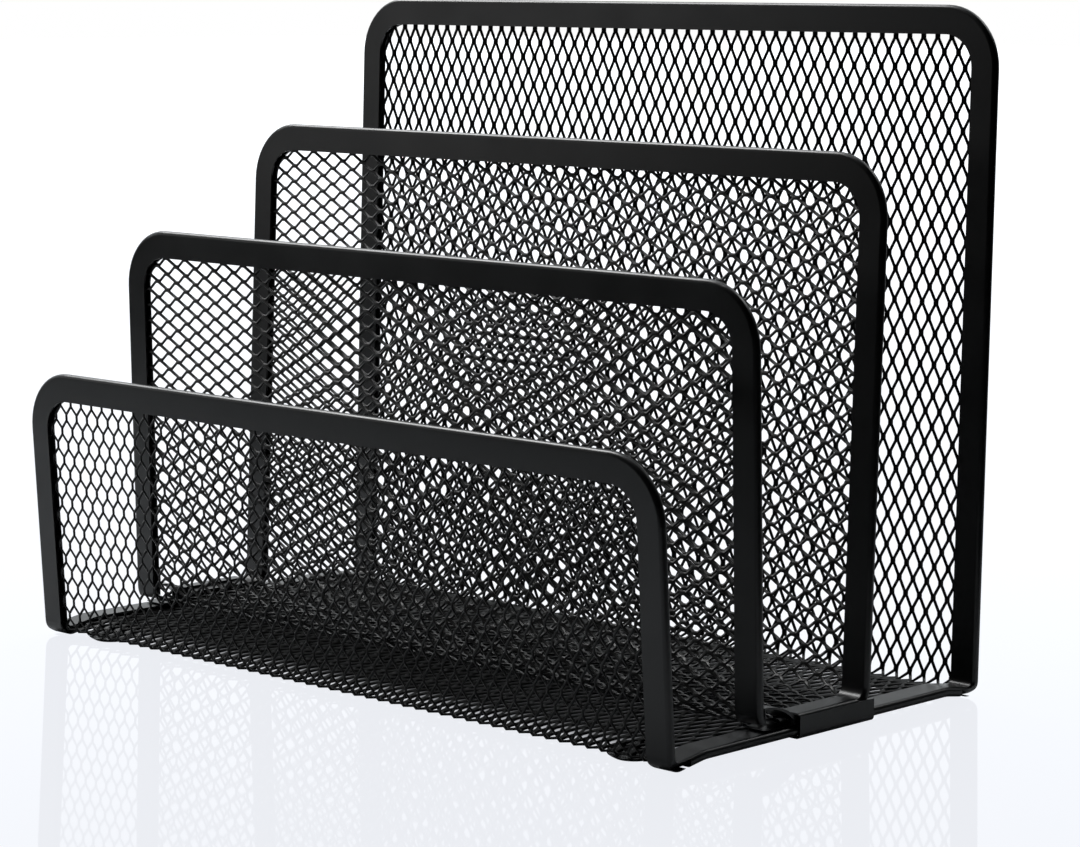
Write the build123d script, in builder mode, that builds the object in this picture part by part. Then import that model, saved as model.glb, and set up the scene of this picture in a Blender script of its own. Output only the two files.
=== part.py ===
from build123d import *
import os
from collections import namedtuple
from math import cos, radians, sin, sqrt, tan

os.makedirs("parts", exist_ok=True)

# Desktop file sorter, in millimetres. +Z is up and the feet stand on z = 0.
# X runs along the width. The lowest panel is at the front, towards -Y, and the tallest at the rear.
# Two sheets of expanded steel mesh are folded into a U: the outer one makes the front panel, the
# floor and the rear panel, and the inner one stands on it and makes the two panels between them.
# A steel strip, folded over the free edges of each sheet, makes its rim.
# The mesh sheets are plain plates here, as thick as the mesh is over its twisted strands.

# ---- Driving dimensions ----------------------------------------------------------------------
outer_width = 175.0         # over the outer rim
inner_width = 174.0         # over the inner rim
corner_radius = 12.0        # outer radius of each panel's two top corners

rim_band = 5.6              # how far the rim covers the mesh, from the free edge inwards
rim_thickness = 1.8         # over both flanges
rim_wall = 0.4              # thickness of the strip
rim_rounding = 0.8          # rounding of the strip's two long folds
mesh_thickness = 0.9
mesh_clearance = 0.05       # between the mesh and each flange
bend_radius = 3.0           # mid-line radius where an inner panel turns into its floor

ridge_radius = 2.0          # mid-line radius of the ridge under the front and rear panels
ridge_drop = 1.35           # how far the ridge's corner, before rounding, lies under the floor
ridge_length = 8.5          # length of the slope from the ridge up to the level floor
slope_radius = 12.0         # where the slope levels out

floor_clearance = 1.75      # clear height under the level mesh floor
foot_diameter = 11.0
foot_dome_height = 1.3      # height of the dome, below the upright band round the foot
foot_contact_radius = 3.5   # small flat at the crown of the dome, where the foot meets the desk
foot_from_side = 14.4       # from the side of the rim to the centre of a foot
foot_from_panel = 5.5       # from the mid-plane of the front or rear panel to the centre of a foot

leg_outer_rounding = 2.8    # rounding of the end of each outer leg, at its outer corner
leg_inner_rounding = 1.3    # and at its inner corner
leg_rounding_depth = 4.5    # how far behind the panel the outer corner stays rounded

base_height = 0.3           # height at which each panel's place is given
front_y = 0.0               # mid-plane of each panel at that height, from the front
second_y = 23.8
third_y = 53.4
rear_y = 86.0
front_top = 55.4            # height of the top of each panel
second_top = 83.2
third_top = 104.4
rear_top = 131.2
front_lean = -3.8           # lean of each panel from upright, towards the rear, in degrees
second_lean = -1.5
third_lean = 2.2
rear_lean = 1.6

gusset_length = 8.3         # curved gusset behind the second panel, where its flange turns in
gusset_height = 2.8
gusset_bulge = 0.8          # how far the gusset bows out from a straight line

clip_front = 9.3            # front end of each clip, behind the second panel's mid-plane
clip_rear = 0.8             # rear end of the clip's web, behind the third panel's mid-plane
clip_lip_rear = 3.6         # rear end of the upper lip, in front of the third panel's mid-plane
clip_wall = 0.35
clip_gap = 0.2              # between the rails and the clip's two lips
clip_reach = 3.4            # how far each lip reaches in over or under the rails
clip_rounding = 0.9         # outside rounding of the clip's folds
clip_clearance = 0.03       # between the outer rail and the clip's web

# ---- Derived dimensions ----------------------------------------------------------------------
half_thickness = rim_thickness / 2
groove = mesh_thickness + 2 * mesh_clearance
mesh_inset = rim_wall + 2 * mesh_clearance                 # from the rim's edge to the mesh's edge

outer_floor_z = floor_clearance + mesh_thickness / 2           # mid-plane of the outer floor
inner_floor_z = outer_floor_z + rim_thickness              # the inner rails lie on the outer ones
rail_seat = inner_floor_z - half_thickness                 # top of the outer rails
rail_top = inner_floor_z + half_thickness                  # top of the inner rails


def rise(lean, height):
    """Distance towards the rear that a leaning panel's mid-plane gains from the base height up."""
    return (height - base_height) * tan(radians(lean))


def extreme(y, lean, top, side):
    """Outermost y of a panel's rounded top edge, on the front (-1) or the rear (+1) side."""
    centre = y + rise(lean, top - rim_rounding)
    return centre + side * ((half_thickness - rim_rounding) * cos(radians(lean)) + rim_rounding)


# The origin is at the middle of the bounding box, seen from above.
shift_y = -(extreme(front_y, front_lean, front_top, -1) + extreme(rear_y, rear_lean, rear_top, 1)) / 2

# A panel has the y of its mid-plane at the base height, its lean and its top.
Panel = namedtuple("Panel", "y lean top")
# A folded sheet has two panels, the mid-plane of its floor, its rim's half width, and either a
# ridge under each panel or a plain bend.
Sheet = namedtuple("Sheet", "front rear floor_z half_width has_ridges")

front_panel = Panel(front_y + shift_y, front_lean, front_top)
second_panel = Panel(second_y + shift_y, second_lean, second_top)
third_panel = Panel(third_y + shift_y, third_lean, third_top)
rear_panel = Panel(rear_y + shift_y, rear_lean, rear_top)
outer_sheet = Sheet(front_panel, rear_panel, outer_floor_z, outer_width / 2, True)
inner_sheet = Sheet(second_panel, third_panel, inner_floor_z, inner_width / 2, False)


def mid_plane_point(panel, height):
    """Point (y, z) on a panel's mid-plane at a given height."""
    return (panel.y + rise(panel.lean, height), height)


def top_end(panel, inset):
    """Point (y, z) at the top of a panel, measured down its own slope by an inset."""
    angle = radians(panel.lean)
    y, z = mid_plane_point(panel, panel.top)
    return (y - inset * sin(angle), z - inset * cos(angle))


def side_corners(sheet, inset):
    """Corners (y, z) of a sheet's mid-line, inset from its two top edges, and each bend's radius."""
    corners = [top_end(sheet.front, inset)]
    if sheet.has_ridges:
        front_y, front_z = mid_plane_point(sheet.front, sheet.floor_z - ridge_drop)
        rear_y, rear_z = mid_plane_point(sheet.rear, sheet.floor_z - ridge_drop)
        corners += [(front_y, front_z), (front_y + ridge_length, sheet.floor_z)]
        corners += [(rear_y - ridge_length, sheet.floor_z), (rear_y, rear_z)]
        radii = (ridge_radius, slope_radius, slope_radius, ridge_radius)
    else:
        corners += [mid_plane_point(panel, sheet.floor_z) for panel in (sheet.front, sheet.rear)]
        radii = (bend_radius, bend_radius)
    corners.append(top_end(sheet.rear, inset))
    return corners, radii


def edges_of_length(blank, length):
    """The straight edges of a blank that have a given length."""
    return blank.edges().filter_by(lambda edge: abs(edge.length - length) < 0.001)


def top_corner_edges(blank, thickness):
    """The edges across a blank's thickness, at its four top corners."""
    short_edges = edges_of_length(blank, thickness)
    return short_edges.filter_by(lambda edge: edge.center().Z > front_top / 2)


def folded_plate(sheet, thickness, inset):
    """Plate folded into a U, inset from the free edges of a sheet's rim."""
    corners, radii = side_corners(sheet, inset)
    with BuildPart() as plate:
        with BuildSketch(Plane.YZ):
            with BuildLine():
                FilletPolyline(*corners, radius=radii)
            trace(line_width=thickness)
        extrude(amount=sheet.half_width - inset, both=True)
        fillet(top_corner_edges(plate, thickness), radius=corner_radius - inset)
    return plate.part


def rim_blank(sheet):
    """Solid blank of a rim, over a whole folded sheet, with the strip's two long folds rounded."""
    with BuildPart() as blank:
        add(folded_plate(sheet, rim_thickness, 0))
        across = top_corner_edges(blank, rim_thickness)
        along = edges_of_length(blank, 2 * sheet.half_width)
        fillet(blank.edges() - across - along, radius=rim_rounding)
    return blank.part


def panel_plane(panel):
    """Plane of a panel: x along the width, y up the panel, origin at the base height."""
    angle = radians(panel.lean)
    return Plane(
        origin=(0, panel.y, base_height),
        x_dir=(1, 0, 0),
        z_dir=(0, -cos(angle), sin(angle)),
    )


def panel_window(panel, sheet):
    """Outline of a panel's opening, inside the band along its sides and its top."""
    height = (panel.top - base_height) / cos(radians(panel.lean)) - rim_band
    below = base_height
    with BuildSketch(panel_plane(panel)) as window:
        with Locations((0, (height - below) / 2)):
            Rectangle(2 * (sheet.half_width - rim_band), height + below)
        fillet(window.vertices().group_by(Axis.Y)[-1], radius=corner_radius - rim_band)
    return window.sketch


def floor_window(sheet):
    """Outline of the opening of a floor and of its two bends, seen from above."""
    depth = sheet.rear.y - sheet.front.y + 2 * rim_thickness
    with BuildSketch(Plane.XY) as window:
        with Locations((0, (sheet.front.y + sheet.rear.y) / 2)):
            Rectangle(2 * (sheet.half_width - rim_band), depth)
    return window.sketch


def corner_waste(panel, corner_x, inwards, rounding, inset):
    """What is cut away to round one corner of each of a panel's two leg ends, seen from the front.

    The rounding is about the same centre whatever the inset, so that nested outlines stay nested.
    """
    with BuildSketch(panel_plane(panel)) as waste:
        for direction in (-1, 1):
            centre_x = direction * (corner_x + inwards * rounding)
            with Locations((centre_x - direction * inwards * rounding / 2, rounding / 2)):
                Rectangle(rounding, rounding)
            with Locations((centre_x, rounding)):
                Circle(rounding - inset, mode=Mode.SUBTRACT)
    return waste.sketch


def with_rounded_legs(plate, inset):
    """A plate folded like the outer sheet, with the outer corners of its four leg ends rounded."""
    with BuildPart() as trimmed:
        add(plate)
        for panel in (front_panel, rear_panel):
            waste = corner_waste(panel, outer_width / 2, -1, leg_outer_rounding, inset)
            extrude(waste, amount=leg_rounding_depth + inset, both=True, mode=Mode.SUBTRACT)
    return trimmed.part


outer_groove = with_rounded_legs(folded_plate(outer_sheet, groove, rim_wall), rim_wall)
inner_groove = folded_plate(inner_sheet, groove, rim_wall)

# ---- Outer rim: both arches, both floor rails and the four leg ends ---------------------------
with BuildPart() as outer_rim:
    add(with_rounded_legs(rim_blank(outer_sheet), 0))
    for panel in (front_panel, rear_panel):
        window = panel_window(panel, outer_sheet)
        extrude(window, amount=2 * rim_thickness, both=True, mode=Mode.SUBTRACT)
        waste = corner_waste(panel, outer_width / 2 - rim_band, 1, leg_inner_rounding, 0)
        extrude(waste, amount=rim_thickness, both=True, mode=Mode.SUBTRACT)
    floor_depth = outer_floor_z + 2 * bend_radius
    extrude(floor_window(outer_sheet), amount=floor_depth, mode=Mode.SUBTRACT)
    add(outer_groove, mode=Mode.SUBTRACT)
outer_rim.part.label = "outer_rim"
export_step(outer_rim.part, "parts/outer_rim.step")

# ---- Inner rim: two arches and two rails, with a curved gusset behind the second panel --------
second_leg_rear = second_panel.y + half_thickness


def gusset_outline(inset, base_z):
    """Side view of the space under the gusset's curve, moved in by an inset, down to a height."""
    tip = (second_leg_rear + gusset_length - 2 * inset, rail_top - inset)
    root = (second_leg_rear - rim_wall + inset, rail_top + gusset_height - inset)
    crown = ((tip[0] + root[0]) / 2, (tip[1] + root[1]) / 2 + gusset_bulge)
    with BuildSketch(Plane.YZ) as outline:
        with BuildLine():
            ThreePointArc(root, crown, tip)
            Polyline(tip, (tip[0], base_z), (second_leg_rear, base_z), root)
        make_face()
    return outline.sketch


with BuildPart() as inner_rim:
    add(rim_blank(inner_sheet))
    extrude(gusset_outline(0, inner_floor_z), amount=inner_sheet.half_width, both=True)
    for panel in (second_panel, third_panel):
        window = panel_window(panel, inner_sheet)
        extrude(window, amount=2 * rim_thickness, both=True, mode=Mode.SUBTRACT)
    floor_depth = rail_top + gusset_height + bend_radius
    extrude(floor_window(inner_sheet), amount=floor_depth, mode=Mode.SUBTRACT)
    hollow = gusset_outline(rim_wall, rail_seat + rim_wall)
    extrude(hollow, amount=outer_width, both=True, mode=Mode.SUBTRACT)
    with BuildSketch(Plane.YZ):  # under the second leg only the rail's lower wall is left
        with Locations((second_leg_rear - rim_thickness, rail_top - half_thickness + rim_wall / 2)):
            Rectangle(2 * rim_thickness, rim_thickness - rim_wall)
    extrude(amount=outer_width, both=True, mode=Mode.SUBTRACT)
    add(inner_groove, mode=Mode.SUBTRACT)
inner_rim.part.label = "inner_rim"
export_step(inner_rim.part, "parts/inner_rim.step")

# ---- Mesh sheets: each folded once at the front and once at the rear ---------------------------
with BuildPart() as outer_mesh:
    add(with_rounded_legs(folded_plate(outer_sheet, mesh_thickness, mesh_inset), mesh_inset))
outer_mesh.part.label = "outer_mesh"
export_step(outer_mesh.part, "parts/outer_mesh.step")

with BuildPart() as inner_mesh:
    add(folded_plate(inner_sheet, mesh_thickness, mesh_inset))
inner_mesh.part.label = "inner_mesh"
export_step(inner_mesh.part, "parts/inner_mesh.step")

# ---- Rail clips: short folded sleeves round the outer side of the stacked rails ----------------
clip_start = second_panel.y + clip_front
clip_web_end = third_panel.y + clip_rear
clip_lip_end = third_panel.y - clip_lip_rear
clip_web_x = outer_width / 2 + clip_clearance + clip_wall / 2
clip_lip_x = clip_web_x + clip_wall / 2 - clip_reach
clip_low_z = outer_floor_z - half_thickness - clip_gap - clip_wall / 2
clip_high_z = rail_top + clip_gap + clip_wall / 2

for side, direction in (("left", -1), ("right", 1)):
    lower_lip = [(direction * clip_lip_x, clip_low_z), (direction * clip_web_x, clip_low_z)]
    web_top = (direction * clip_web_x, clip_high_z)
    web_end = (direction * clip_web_x, rail_top)
    upper_lip = (direction * clip_lip_x, clip_high_z)
    clip_plane = Plane((0, clip_start, 0), x_dir=(1, 0, 0), z_dir=(0, -1, 0))
    with BuildPart() as rail_clip:
        with BuildSketch(clip_plane):
            with BuildLine():
                FilletPolyline(*lower_lip, web_top, upper_lip, radius=clip_rounding - clip_wall / 2)
            trace(line_width=clip_wall)
        extrude(amount=clip_start - clip_lip_end)
        with BuildSketch(clip_plane):
            with BuildLine():
                FilletPolyline(*lower_lip, web_end, radius=clip_rounding - clip_wall / 2)
            trace(line_width=clip_wall)
        extrude(amount=clip_start - clip_web_end)
    rail_clip.part.label = f"rail_clip_{side}"
    export_step(rail_clip.part, f"parts/rail_clip_{side}.step")

# ---- Feet: domed rubber pads stuck under the mesh floor, near its four corners ------------------
foot_x = outer_width / 2 - foot_from_side
foot_front_y = front_panel.y + foot_from_panel
foot_rear_y = rear_panel.y - foot_from_panel
foot_radius = foot_diameter / 2
dome_centre = (foot_radius**2 + foot_dome_height**2 - foot_contact_radius**2) / (2 * foot_dome_height)
dome_radius = sqrt(dome_centre**2 + foot_contact_radius**2)
foot_places = {
    "front_left": (-foot_x, foot_front_y),
    "front_right": (foot_x, foot_front_y),
    "rear_left": (-foot_x, foot_rear_y),
    "rear_right": (foot_x, foot_rear_y),
}
mesh_bottom = outer_mesh.part.bounding_box().min.Z
corners, radii = side_corners(outer_sheet, mesh_inset)
ridge_ys = (corners[1][0] + ridge_radius, corners[-2][0] - ridge_radius)

# What the feet stay under, seen from the side: the space that the outer sheet holds, and the
# space past its two ridges, above their lowest point.
with BuildSketch(Plane.YZ) as space_above:
    with BuildLine():
        FilletPolyline(*corners, radius=radii)
        Line(corners[-1], corners[0])
    make_face()
    for ridge_y, direction in zip(ridge_ys, (-1, 1)):
        with Locations((ridge_y + direction * foot_radius / 2, mesh_bottom + foot_radius / 2)):
            Rectangle(foot_radius, foot_radius)

for corner, (x, y) in foot_places.items():
    with BuildPart() as foot:
        with BuildSketch(Plane((x, y, 0), x_dir=(1, 0, 0), z_dir=(0, -1, 0))):
            with BuildLine():
                Polyline(
                    (foot_contact_radius, 0),
                    (0, 0),
                    (0, outer_floor_z),
                    (foot_radius, outer_floor_z),
                    (foot_radius, foot_dome_height),
                )
                RadiusArc((foot_radius, foot_dome_height), (foot_contact_radius, 0), dome_radius)
            make_face()
        revolve(axis=Axis((x, y, 0), (0, 0, 1)))
        extrude(space_above.sketch, amount=outer_width, both=True, mode=Mode.SUBTRACT)
        add(outer_mesh.part, mode=Mode.SUBTRACT)
    foot.part.label = f"foot_{corner}"
    export_step(foot.part, f"parts/foot_{corner}.step")
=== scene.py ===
"""Looks of a desktop file sorter of expanded-metal mesh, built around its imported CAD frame.

The rims, clips and feet are the CAD solids with procedural finishes. The two folded sheets are
made here as real expanded metal: zigzag strands, tilted against the sheet and joined at bonds.
"""

from collections import namedtuple
from math import atan2, cos, hypot, radians, sin, tan

import bpy
import numpy as np
from mathutils import Matrix, Vector


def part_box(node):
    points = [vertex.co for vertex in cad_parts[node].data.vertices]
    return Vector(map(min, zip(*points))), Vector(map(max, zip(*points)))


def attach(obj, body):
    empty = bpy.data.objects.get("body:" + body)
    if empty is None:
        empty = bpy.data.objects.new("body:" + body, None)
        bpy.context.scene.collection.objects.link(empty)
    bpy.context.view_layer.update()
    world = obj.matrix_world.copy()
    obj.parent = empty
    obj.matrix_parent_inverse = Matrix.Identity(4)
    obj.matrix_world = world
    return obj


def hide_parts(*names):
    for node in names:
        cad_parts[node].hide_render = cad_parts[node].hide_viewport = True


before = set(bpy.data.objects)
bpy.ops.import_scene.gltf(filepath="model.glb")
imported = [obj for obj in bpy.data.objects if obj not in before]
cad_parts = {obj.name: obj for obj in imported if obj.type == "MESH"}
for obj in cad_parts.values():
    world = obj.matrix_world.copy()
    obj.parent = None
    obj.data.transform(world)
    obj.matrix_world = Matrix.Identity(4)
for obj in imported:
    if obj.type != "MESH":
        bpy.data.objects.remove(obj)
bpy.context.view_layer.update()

MM = 0.001

# ---- The part's dimensions that the frame doesn't state ---------------------------------------
RIM_THICKNESS = 1.8 * MM
RIM_ROUNDING = 0.8 * MM
CORNER_RADIUS = 12 * MM
MESH_THICKNESS = 0.9 * MM
MESH_INSET = 0.5 * MM           # from the rim's edge to the mesh's edge
BEND_RADIUS = 3 * MM            # where an inner panel turns into its floor
RIDGE_RADIUS = 2 * MM           # of the ridge under the front and rear panels
RIDGE_DROP = 1.35 * MM          # how far the ridge's corner lies under the level floor
RIDGE_LENGTH = 8.5 * MM         # of the slope from the ridge up to the level floor
SLOPE_RADIUS = 12 * MM          # where the slope levels out
LEG_ROUNDING = 2.8 * MM         # of the outer corners of the outer rim's leg ends
LEG_NOTCH = 3 * LEG_ROUNDING    # how far along the flat sheet its notch at a leg end reaches
BASE_HEIGHT = 0.3 * MM          # the height at which each panel's place is given
FRONT_TOP = 55.4 * MM
SECOND_TOP = 83.2 * MM
FRONT_LEAN = radians(-3.8)      # leans are from upright, towards the rear
SECOND_LEAN = radians(-1.5)
THIRD_LEAN = radians(2.2)
REAR_LEAN = radians(1.6)

# ---- Expanded metal ---------------------------------------------------------------------------
STRAND_WIDTH = 0.5 * MM
STRAND_THICKNESS = 0.42 * MM
STRAND_EDGE = 0.12 * MM         # how far each coated edge bulges past the strand's flat faces
STRAND_TILT = radians(-42)      # of a strand's width against the sheet
BOND_LENGTH = 1.4 * MM
BOND_PULL = 0.33 * MM           # how much sooner a strand's free edge turns away from a bond
SECTION_CORNERS = 6             # of a strand's cross-section

Panel = namedtuple("Panel", "y lean top")
Lattice = namedtuple("Lattice", "long_way short_way runs_along_path")


# ---- Where the sheets lie ---------------------------------------------------------------------
def panel_from_rim(edge_y, lean, top, side):
    """A panel whose rim's rounded top reaches edge_y, on the front (-1) or rear (+1) side."""
    rise = (top - RIM_ROUNDING - BASE_HEIGHT) * tan(lean)
    reach = (RIM_THICKNESS / 2 - RIM_ROUNDING) * cos(lean) + RIM_ROUNDING
    return Panel(edge_y - rise - side * reach, lean, top)


def mid_plane(panel, height):
    """Point (y, z) of a panel's mid-plane at a height."""
    return (panel.y + (height - BASE_HEIGHT) * tan(panel.lean), height)


def rounded_path(corners, radii):
    """Start point, start heading and runs (length, turn) of a line with rounded corners."""
    steps = [(y2 - y1, z2 - z1) for (y1, z1), (y2, z2) in zip(corners, corners[1:])]
    headings = [atan2(dz, dy) for dy, dz in steps]
    turns = [after - before for before, after in zip(headings, headings[1:])]
    cuts = [0, *(radius * tan(abs(turn) / 2) for radius, turn in zip(radii, turns)), 0]
    straights = [hypot(*step) - cuts[k] - cuts[k + 1] for k, step in enumerate(steps)]
    runs = [(straights[0], 0)]
    for radius, turn, straight in zip(radii, turns, straights[1:]):
        runs += [(radius * abs(turn), turn), (straight, 0)]
    return corners[0], headings[0], runs


def top_end(panel):
    """Point (y, z) of the mesh's edge at the top of a panel."""
    y, z = mid_plane(panel, panel.top)
    return (y - MESH_INSET * sin(panel.lean), z - MESH_INSET * cos(panel.lean))


def bent_path(front, rear, floor_z):
    """Mid-line of a sheet with a plain bend under each of its two panels."""
    bends = [mid_plane(front, floor_z), mid_plane(rear, floor_z)]
    return rounded_path([top_end(front), *bends, top_end(rear)], (BEND_RADIUS, BEND_RADIUS))


def ridged_path(front, rear, floor_z):
    """Mid-line of a sheet with a low ridge under each of its two panels."""
    front_ridge = mid_plane(front, floor_z - RIDGE_DROP)
    rear_ridge = mid_plane(rear, floor_z - RIDGE_DROP)
    slope_ends = [(front_ridge[0] + RIDGE_LENGTH, floor_z), (rear_ridge[0] - RIDGE_LENGTH, floor_z)]
    corners = [top_end(front), front_ridge, *slope_ends, rear_ridge, top_end(rear)]
    return rounded_path(corners, (RIDGE_RADIUS, SLOPE_RADIUS, SLOPE_RADIUS, RIDGE_RADIUS))


def lay_along(path, distance):
    """Points y and z, and the heading, at distances along a path of straight runs and arcs."""
    (y, z), heading, runs = path
    at_y, at_z, at_heading = (np.zeros_like(distance) for _ in range(3))
    begin = -1.0  # the first run also takes the points before the path's start
    passed = 0.0
    for length, turn in runs:
        here = distance >= begin
        t = distance[here] - passed
        if turn:
            radius = length / turn
            at_heading[here] = heading + t / radius
            at_y[here] = y + radius * (np.sin(at_heading[here]) - sin(heading))
            at_z[here] = z - radius * (np.cos(at_heading[here]) - cos(heading))
            y += radius * (sin(heading + turn) - sin(heading))
            z -= radius * (cos(heading + turn) - cos(heading))
            heading += turn
        else:
            at_heading[here] = heading
            at_y[here] = y + t * cos(heading)
            at_z[here] = z + t * sin(heading)
            y += length * cos(heading)
            z += length * sin(heading)
        passed += length
        begin = passed
    return at_y, at_z, at_heading


# ---- Expanded metal as a mesh -----------------------------------------------------------------
def inside_sheet(across, along, half_width, runs):
    """True where a point of the flat sheet is inside its outline.

    The outline's corners are rounded, and it is notched where the outer rim's leg ends are rounded.
    """
    length = sum(run for run, _ in runs)
    radius = CORNER_RADIUS - MESH_INSET
    past_x = np.maximum(np.abs(across) - (half_width - radius), 0)
    past_s = np.maximum(np.abs(along - length / 2) - (length / 2 - radius), 0)
    first_bend, last_bend = runs[0][0], length - runs[-1][0]
    notched = np.zeros(across.shape, bool)
    for begin, end in ((first_bend, first_bend + LEG_NOTCH), (last_bend - LEG_NOTCH, last_bend)):
        notched |= (along > begin) & (along < end) & (np.abs(across) > half_width - LEG_ROUNDING)
    return (np.hypot(past_x, past_s) <= radius) & ~notched


def strand_sections(lattice, strands, bonds):
    """Corner points (long, short, out) of every strand's six-sided section at every station.

    Each strand has two stations to a bond, at its ends. The result is indexed by strand, station
    and corner, and the corners run: left, top left, top right, right, bottom right, bottom left.
    """
    pitch = lattice.long_way / 2
    column_gap = lattice.short_way / 2
    strand = np.arange(strands)[:, None]
    bond = np.repeat(np.arange(bonds), 2)[None, :]
    bond_end = np.tile([-1, 1], bonds)[None, :]
    bonded_left = (strand + bond) % 2 == 0
    column = strand + np.where(bonded_left, 0, 1)

    flat = STRAND_WIDTH - STRAND_EDGE
    half = STRAND_THICKNESS / 2
    bonded_side = [(0, 0), (0, half), (flat, half), (STRAND_WIDTH, 0), (flat, -half), (0, -half)]
    corners = np.array(bonded_side)
    mirrored = corners[[3, 2, 1, 0, 5, 4]] * (-1, 1)
    width = np.where(bonded_left[..., None], corners[:, 0], mirrored[:, 0])
    depth = np.where(bonded_left[..., None], corners[:, 1], mirrored[:, 1])

    short = column[..., None] * column_gap + width * cos(STRAND_TILT) - depth * sin(STRAND_TILT)
    out = width * sin(STRAND_TILT) + depth * cos(STRAND_TILT)
    reach = BOND_LENGTH / 2 - BOND_PULL * np.abs(width) / STRAND_WIDTH
    long = bond[..., None] * pitch + bond_end[..., None] * reach
    return np.stack([long, short, out], axis=-1), bonded_left


def expanded_sheet(name, lattice, path, half_width):
    """Expanded metal over a folded sheet, as one mesh whose strands share their bonds' edges."""
    length = sum(run for run, _ in path[2])
    spans = (length, 2 * half_width) if lattice.runs_along_path else (2 * half_width, length)
    bonds = int(spans[0] / (lattice.long_way / 2)) + 2
    strands = int(spans[1] / (lattice.short_way / 2)) + 2
    points, bonded_left = strand_sections(lattice, strands, bonds)
    points[..., 0] -= (bonds - 1) * lattice.long_way / 4 - spans[0] / 2
    points[..., 1] -= strands * lattice.short_way / 4 - spans[1] / 2
    if lattice.runs_along_path:
        along, across = points[..., 0], points[..., 1] - half_width
    else:
        along, across = points[..., 1], points[..., 0] - half_width
    kept_station = inside_sheet(across, along, half_width, path[2]).all(axis=-1)
    kept = kept_station[:, :-1] & kept_station[:, 1:]

    # Bonded strands share the three corners of the joined side: the right one takes the left's.
    index = np.arange(across.size).reshape(across.shape)
    shared = bonded_left.copy()
    shared[0] = False
    strand_at, station_at = np.nonzero(shared)
    for mine, theirs in ((0, 3), (1, 2), (5, 4)):
        index[strand_at, station_at, mine] = index[strand_at - 1, station_at, theirs]

    in_bond = np.zeros(kept.shape[1], bool)
    in_bond[::2] = True
    left_neighbour = np.zeros_like(kept)
    left_neighbour[1:] = kept[:-1]
    right_neighbour = np.zeros_like(kept)
    right_neighbour[:-1] = kept[1:]
    joined_left = in_bond & bonded_left[:, :-1] & left_neighbour
    joined_right = in_bond & ~bonded_left[:, :-1] & right_neighbour

    # Where two strands are joined, their touching sides would lie inside the metal.
    quads = []
    for side in range(SECTION_CORNERS):
        following = (side + 1) % SECTION_CORNERS
        wanted = kept.copy()
        if side in (0, 5):
            wanted &= ~joined_left
        if side in (2, 3):
            wanted &= ~joined_right
        j, i = np.nonzero(wanted)
        near = index[j, i, side], index[j, i + 1, side]
        far = index[j, i + 1, following], index[j, i, following]
        quads.append(np.stack([*near, *far], axis=-1))
    quads = np.concatenate(quads)

    before = np.zeros_like(kept_station)
    before[:, 1:] = kept
    after = np.zeros_like(kept_station)
    after[:, :-1] = kept
    first_caps = index[after & ~before]
    last_caps = index[before & ~after][:, ::-1]
    caps = np.concatenate([first_caps, last_caps])

    y, z, heading = lay_along(path, along.ravel())
    out = points[..., 2].ravel()
    placed = np.stack([across.ravel(), y - out * np.sin(heading), z + out * np.cos(heading)], -1)

    used, renumbered = np.unique(np.concatenate([quads.ravel(), caps.ravel()]), return_inverse=True)
    new_quads = renumbered[: quads.size].reshape(-1, 4)
    new_caps = renumbered[quads.size :].reshape(-1, SECTION_CORNERS)
    if not lattice.runs_along_path:
        new_quads = new_quads[:, ::-1]
        new_caps = new_caps[:, ::-1]
    mesh = bpy.data.meshes.new(name)
    mesh.from_pydata(placed[used].tolist(), [], new_quads.tolist() + new_caps.tolist())
    mesh.shade_smooth()
    sheet = bpy.data.objects.new(name, mesh)
    bpy.context.collection.objects.link(sheet)
    return sheet


# ---- Materials --------------------------------------------------------------------------------
NOISE_RANGE = (0.25, 0.75)      # holds nearly all the values of a noise texture
COAT_CLOUDS = 90                # cycles to the metre of the slow changes in a coat's look
RUBBER_CLOUDS = 400
GRAIN_DEPTH = 0.02 * MM         # of the finest relief on a coat or on rubber


def new_material(name):
    """A node material with its Principled shader and its object coordinates."""
    material = bpy.data.materials.new(name)
    material.use_nodes = True
    nodes = material.node_tree.nodes
    shader = nodes["Principled BSDF"]
    place = nodes.new("ShaderNodeTexCoord").outputs["Object"]
    return material, shader, place


def noise(material, place, scale, detail):
    """A noise texture's value over the object, with scale in cycles to the metre."""
    texture = material.node_tree.nodes.new("ShaderNodeTexNoise")
    texture.inputs["Scale"].default_value = scale
    texture.inputs["Detail"].default_value = detail
    material.node_tree.links.new(place, texture.inputs["Vector"])
    return texture.outputs["Fac"]


def spread(material, value, low, high, socket):
    """Maps a value from 0..1 to low..high, numbers or colours, into a shader's socket."""
    nodes, links = material.node_tree.nodes, material.node_tree.links
    if isinstance(low, tuple):
        ramp = nodes.new("ShaderNodeMix")
        ramp.data_type = "RGBA"
        # Sockets 6 and 7, and output 2, are the node's colour ones.
        ramp.inputs[6].default_value = (*low, 1)
        ramp.inputs[7].default_value = (*high, 1)
        links.new(value, ramp.inputs[0])
        links.new(ramp.outputs[2], socket)
    else:
        ramp = nodes.new("ShaderNodeMapRange")
        ramp.inputs["From Min"].default_value = NOISE_RANGE[0]
        ramp.inputs["From Max"].default_value = NOISE_RANGE[1]
        ramp.inputs["To Min"].default_value = low
        ramp.inputs["To Max"].default_value = high
        links.new(value, ramp.inputs["Value"])
        links.new(ramp.outputs["Result"], socket)


def bump(material, shader, height, strength):
    """Gives a shader the fine relief of its height texture."""
    node = material.node_tree.nodes.new("ShaderNodeBump")
    node.inputs["Distance"].default_value = GRAIN_DEPTH
    node.inputs["Strength"].default_value = strength
    material.node_tree.links.new(height, node.inputs["Height"])
    material.node_tree.links.new(node.outputs["Normal"], shader.inputs["Normal"])


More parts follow.
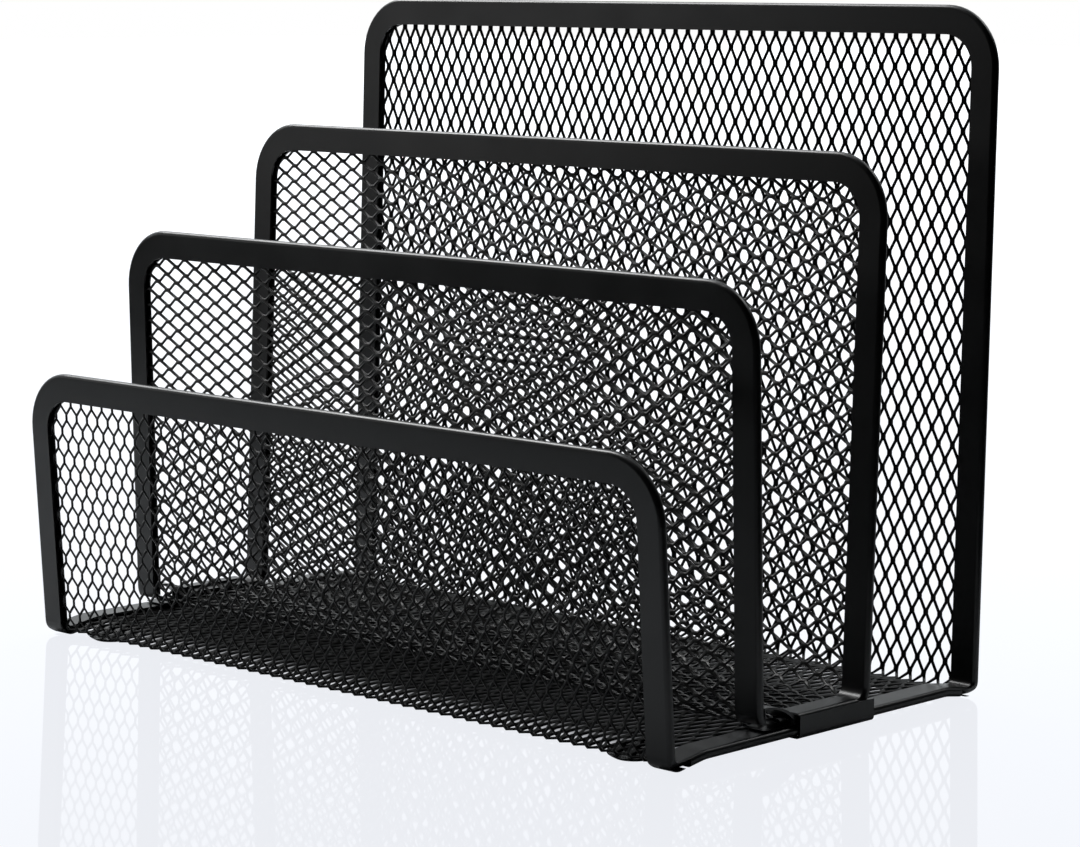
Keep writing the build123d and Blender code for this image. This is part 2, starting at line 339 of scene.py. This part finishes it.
def powder_coat(name, dark, light, smooth, rough, grain, specular):
    """Black satin powder coat with a fine orange peel, of grain cycles to the metre."""
    material, shader, place = new_material(name)
    shader.inputs["Specular IOR Level"].default_value = specular
    clouds = noise(material, place, COAT_CLOUDS, detail=3)
    peel = noise(material, place, grain, detail=2)
    spread(material, clouds, dark, light, shader.inputs["Base Color"])
    spread(material, clouds, smooth, rough, shader.inputs["Roughness"])
    bump(material, shader, peel, strength=0.35)
    return material


def rubber(name):
    """Glossy moulded black rubber, with faint moulding marks."""
    material, shader, place = new_material(name)
    clouds = noise(material, place, RUBBER_CLOUDS, detail=3)
    dark, light = (0.004, 0.004, 0.004), (0.008, 0.008, 0.009)
    spread(material, clouds, dark, light, shader.inputs["Base Color"])
    spread(material, clouds, 0.18, 0.28, shader.inputs["Roughness"])
    bump(material, shader, clouds, strength=0.2)
    return material


def finish(node_or_piece, material):
    """Gives an object one material."""
    slots = node_or_piece.data.materials
    slots.clear()
    slots.append(material)


# ---- Stage ------------------------------------------------------------------------------------
BRIGHT_SIDE = Vector((-0.72, 0.62, 0.3)).normalized()
FLOOR_GLOW = 0.88               # of the open floor
PAINTED_SHADOW_GLOW = 0.1               # painted shadow: how brightly the floor under the object glows
PAINTED_SHADOW_START = -16 * MM           # where the painted shadow begins to brighten, from the base's edge
PAINTED_SHADOW_END = -4 * MM


def studio_world(strength):
    """White to the camera; to the object, a studio that is bright on one side and dark opposite."""
    world = bpy.data.worlds.new("studio")
    bpy.context.scene.world = world
    world.use_nodes = True
    nodes, links = world.node_tree.nodes, world.node_tree.links
    nodes.clear()
    direction = nodes.new("ShaderNodeTexCoord").outputs["Generated"]
    facing = nodes.new("ShaderNodeVectorMath")
    facing.operation = "DOT_PRODUCT"
    links.new(direction, facing.inputs[0])
    facing.inputs[1].default_value = BRIGHT_SIDE
    ramp = nodes.new("ShaderNodeValToRGB")
    dark, bright = ramp.color_ramp.elements
    dark.position = 0.35
    dark.color = (0.006, 0.006, 0.006, 1)
    bright.position = 0.75
    bright.color = (0.94, 0.98, 1, 1)
    links.new(facing.outputs["Value"], ramp.inputs["Fac"])
    studio = nodes.new("ShaderNodeBackground")
    links.new(ramp.outputs["Color"], studio.inputs["Color"])
    studio.inputs["Strength"].default_value = strength
    white = nodes.new("ShaderNodeBackground")
    white.inputs["Color"].default_value = (1, 1, 1, 1)
    seen = nodes.new("ShaderNodeLightPath").outputs["Is Camera Ray"]
    mix = nodes.new("ShaderNodeMixShader")
    links.new(seen, mix.inputs["Fac"])
    links.new(studio.outputs["Background"], mix.inputs[1])
    links.new(white.outputs["Background"], mix.inputs[2])
    output = nodes.new("ShaderNodeOutputWorld")
    links.new(mix.outputs["Shader"], output.inputs["Surface"])


def staged_plane(name, size, location):
    """A level square that isn't part of the object, with what new_material gives."""
    bpy.ops.mesh.primitive_plane_add(size=size, location=location)
    plane = bpy.context.object
    plane.name = name
    material, shader, place = new_material(name)
    plane.data.materials.append(material)
    return plane, material, shader, place


def studio_floor(half_width, half_depth):
    """A pale, glossy floor for the camera alone, which stays white and mirrors the object faintly.

    It glows, and fades under the object, whose base has the given half sizes, into a painted
    shadow.
    """
    floor, material, shader, place = staged_plane("studio_floor", 12, (0, 0, 0))
    nodes, links = material.node_tree.nodes, material.node_tree.links
    distances = nodes.new("ShaderNodeVectorMath")
    distances.operation = "ABSOLUTE"
    links.new(place, distances.inputs[0])
    outside = nodes.new("ShaderNodeVectorMath")
    outside.operation = "SUBTRACT"
    links.new(distances.outputs["Vector"], outside.inputs[0])
    outside.inputs[1].default_value = (half_width, half_depth, 0)
    sides = nodes.new("ShaderNodeSeparateXYZ")
    links.new(outside.outputs["Vector"], sides.inputs["Vector"])
    farther = nodes.new("ShaderNodeMath")
    farther.operation = "MAXIMUM"
    links.new(sides.outputs["X"], farther.inputs[0])
    links.new(sides.outputs["Y"], farther.inputs[1])
    # Painted shadow: the floor glows less towards the object's base, and only dimly under it.
    glow_and_painted_shadow = nodes.new("ShaderNodeMapRange")
    glow_and_painted_shadow.interpolation_type = "SMOOTHSTEP"
    glow_and_painted_shadow.inputs["From Min"].default_value = PAINTED_SHADOW_START
    glow_and_painted_shadow.inputs["From Max"].default_value = PAINTED_SHADOW_END
    glow_and_painted_shadow.inputs["To Min"].default_value = PAINTED_SHADOW_GLOW
    glow_and_painted_shadow.inputs["To Max"].default_value = FLOOR_GLOW
    links.new(farther.outputs["Value"], glow_and_painted_shadow.inputs["Value"])
    links.new(glow_and_painted_shadow.outputs["Result"], shader.inputs["Emission Strength"])
    shader.inputs["Base Color"].default_value = (0.08, 0.08, 0.08, 1)
    shader.inputs["Roughness"].default_value = 0.03
    shader.inputs["IOR"].default_value = 1.1
    shader.inputs["Emission Color"].default_value = (0.93, 0.95, 1, 1)
    floor.visible_diffuse = False
    floor.visible_glossy = False
    floor.visible_shadow = False  # so that the lamps reach the table, just below it
    return floor


def studio_table():
    """The small lit table top that the object's own faces reflect, out of the camera's sight."""
    table, _, shader, _ = staged_plane("studio_table", 0.55, (-0.1, 0.075, -0.1 * MM))
    shader.inputs["Base Color"].default_value = (0.6, 0.62, 0.64, 1)
    shader.inputs["Roughness"].default_value = 1
    shader.inputs["Specular IOR Level"].default_value = 0
    table.visible_camera = False


def all_but(floor):
    """What a lamp lights when its light, and so its mirror image, is kept off the floor."""
    receivers = bpy.data.collections.new("lamp_receivers")
    receivers.objects.link(floor)
    receivers.collection_objects[0].light_linking.link_state = "EXCLUDE"
    return receivers


def softbox(name, place, target, size, power, receivers):
    """A square area light aimed at a point."""
    lamp = bpy.data.lights.new(name, "AREA")
    lamp.shape = "SQUARE"
    lamp.size = size
    lamp.energy = power
    box = bpy.data.objects.new(name, lamp)
    bpy.context.collection.objects.link(box)
    box.location = place
    box.visible_camera = False
    box.light_linking.receiver_collection = receivers
    box.rotation_euler = (Vector(target) - Vector(place)).to_track_quat("-Z", "Y").to_euler()


def camera_at(place, azimuth, pitch, roll, lens, shift):
    """A camera looking down by pitch, from a place at an azimuth right of the front."""
    camera = bpy.data.objects.new("camera", bpy.data.cameras.new("camera"))
    bpy.context.collection.objects.link(camera)
    back = Vector((sin(azimuth) * cos(pitch), -cos(azimuth) * cos(pitch), sin(pitch)))
    level = (-back).cross(Vector((0, 0, 1))).normalized()
    upright = level.cross(-back)
    right = level * cos(roll) + upright * sin(roll)
    up = upright * cos(roll) - level * sin(roll)
    camera.matrix_world = Matrix(
        [(right[k], up[k], back[k], place[k]) for k in range(3)] + [(0, 0, 0, 1)]
    )
    camera.data.sensor_width = 36
    camera.data.lens = lens
    camera.data.shift_x, camera.data.shift_y = shift
    bpy.context.scene.camera = camera


# ---- The panels -------------------------------------------------------------------------------
outer_low, outer_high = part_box("outer_rim")
inner_low, inner_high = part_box("inner_rim")
front_panel = panel_from_rim(outer_low.y, FRONT_LEAN, FRONT_TOP, -1)
second_panel = panel_from_rim(inner_low.y, SECOND_LEAN, SECOND_TOP, -1)
third_panel = panel_from_rim(inner_high.y, THIRD_LEAN, inner_high.z, 1)
rear_panel = panel_from_rim(outer_high.y, REAR_LEAN, outer_high.z, 1)

# ---- Camera and light -------------------------------------------------------------------------
camera_at(
    place=(0.4451, -0.4408, 0.1337),
    azimuth=radians(42.45),
    pitch=radians(6.02),
    roll=radians(0.39),
    lens=106.5,
    shift=(-0.102, -0.09),
)
bpy.context.scene.view_settings.view_transform = "Standard"
studio_world(strength=0.95)
studio_table()
off_floor = all_but(studio_floor(outer_high.x, rear_panel.y))
softbox("front_left", (-0.48, -0.40, 0.2), (0, 0, 0.06), size=0.26, power=0.17, receivers=off_floor)
softbox("key", (-0.5, -0.02, 0.65), (-0.05, -0.1, 0), size=0.4, power=5, receivers=off_floor)
softbox("rear_top", (0.11, 0.62, 0.63), (0, 0, 0.05), size=0.2, power=0.6, receivers=off_floor)

# ---- The sheets -------------------------------------------------------------------------------
outer_lattice = Lattice(5.98 * MM, 3.36 * MM, True)
inner_lattice = Lattice(6.1 * MM, 3.32 * MM, False)
inner_floor_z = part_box("inner_mesh")[0].z + MESH_THICKNESS / 2
inner_path = bent_path(second_panel, third_panel, inner_floor_z)
outer_path = ridged_path(front_panel, rear_panel, inner_floor_z - RIM_THICKNESS)
outer_sheet = expanded_sheet("outer_sheet", outer_lattice, outer_path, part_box("outer_mesh")[1].x)
inner_sheet = expanded_sheet("inner_sheet", inner_lattice, inner_path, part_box("inner_mesh")[1].x)
mesh_coat = powder_coat(
    "mesh_coat",
    dark=(0.0015, 0.0015, 0.0015),
    light=(0.003, 0.003, 0.003),
    smooth=0.32,
    rough=0.44,
    grain=900,
    specular=0.33,
)
for sheet, node in ((outer_sheet, "outer_mesh"), (inner_sheet, "inner_mesh")):
    finish(sheet, mesh_coat)
    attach(sheet, "root")
    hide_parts(node)

# ---- The carried-over CAD pieces --------------------------------------------------------------
rim_coat = powder_coat(
    "rim_coat",
    dark=(0.0015, 0.0017, 0.002),
    light=(0.003, 0.0034, 0.004),
    smooth=0.28,
    rough=0.37,
    grain=1400,
    specular=0.5,
)
for node in ("outer_rim", "inner_rim", "rail_clip_left", "rail_clip_right"):
    finish(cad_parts[node], rim_coat)
foot_rubber = rubber("foot_rubber")
for node in ("foot_front_left", "foot_front_right", "foot_rear_left", "foot_rear_right"):
    finish(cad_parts[node], foot_rubber)
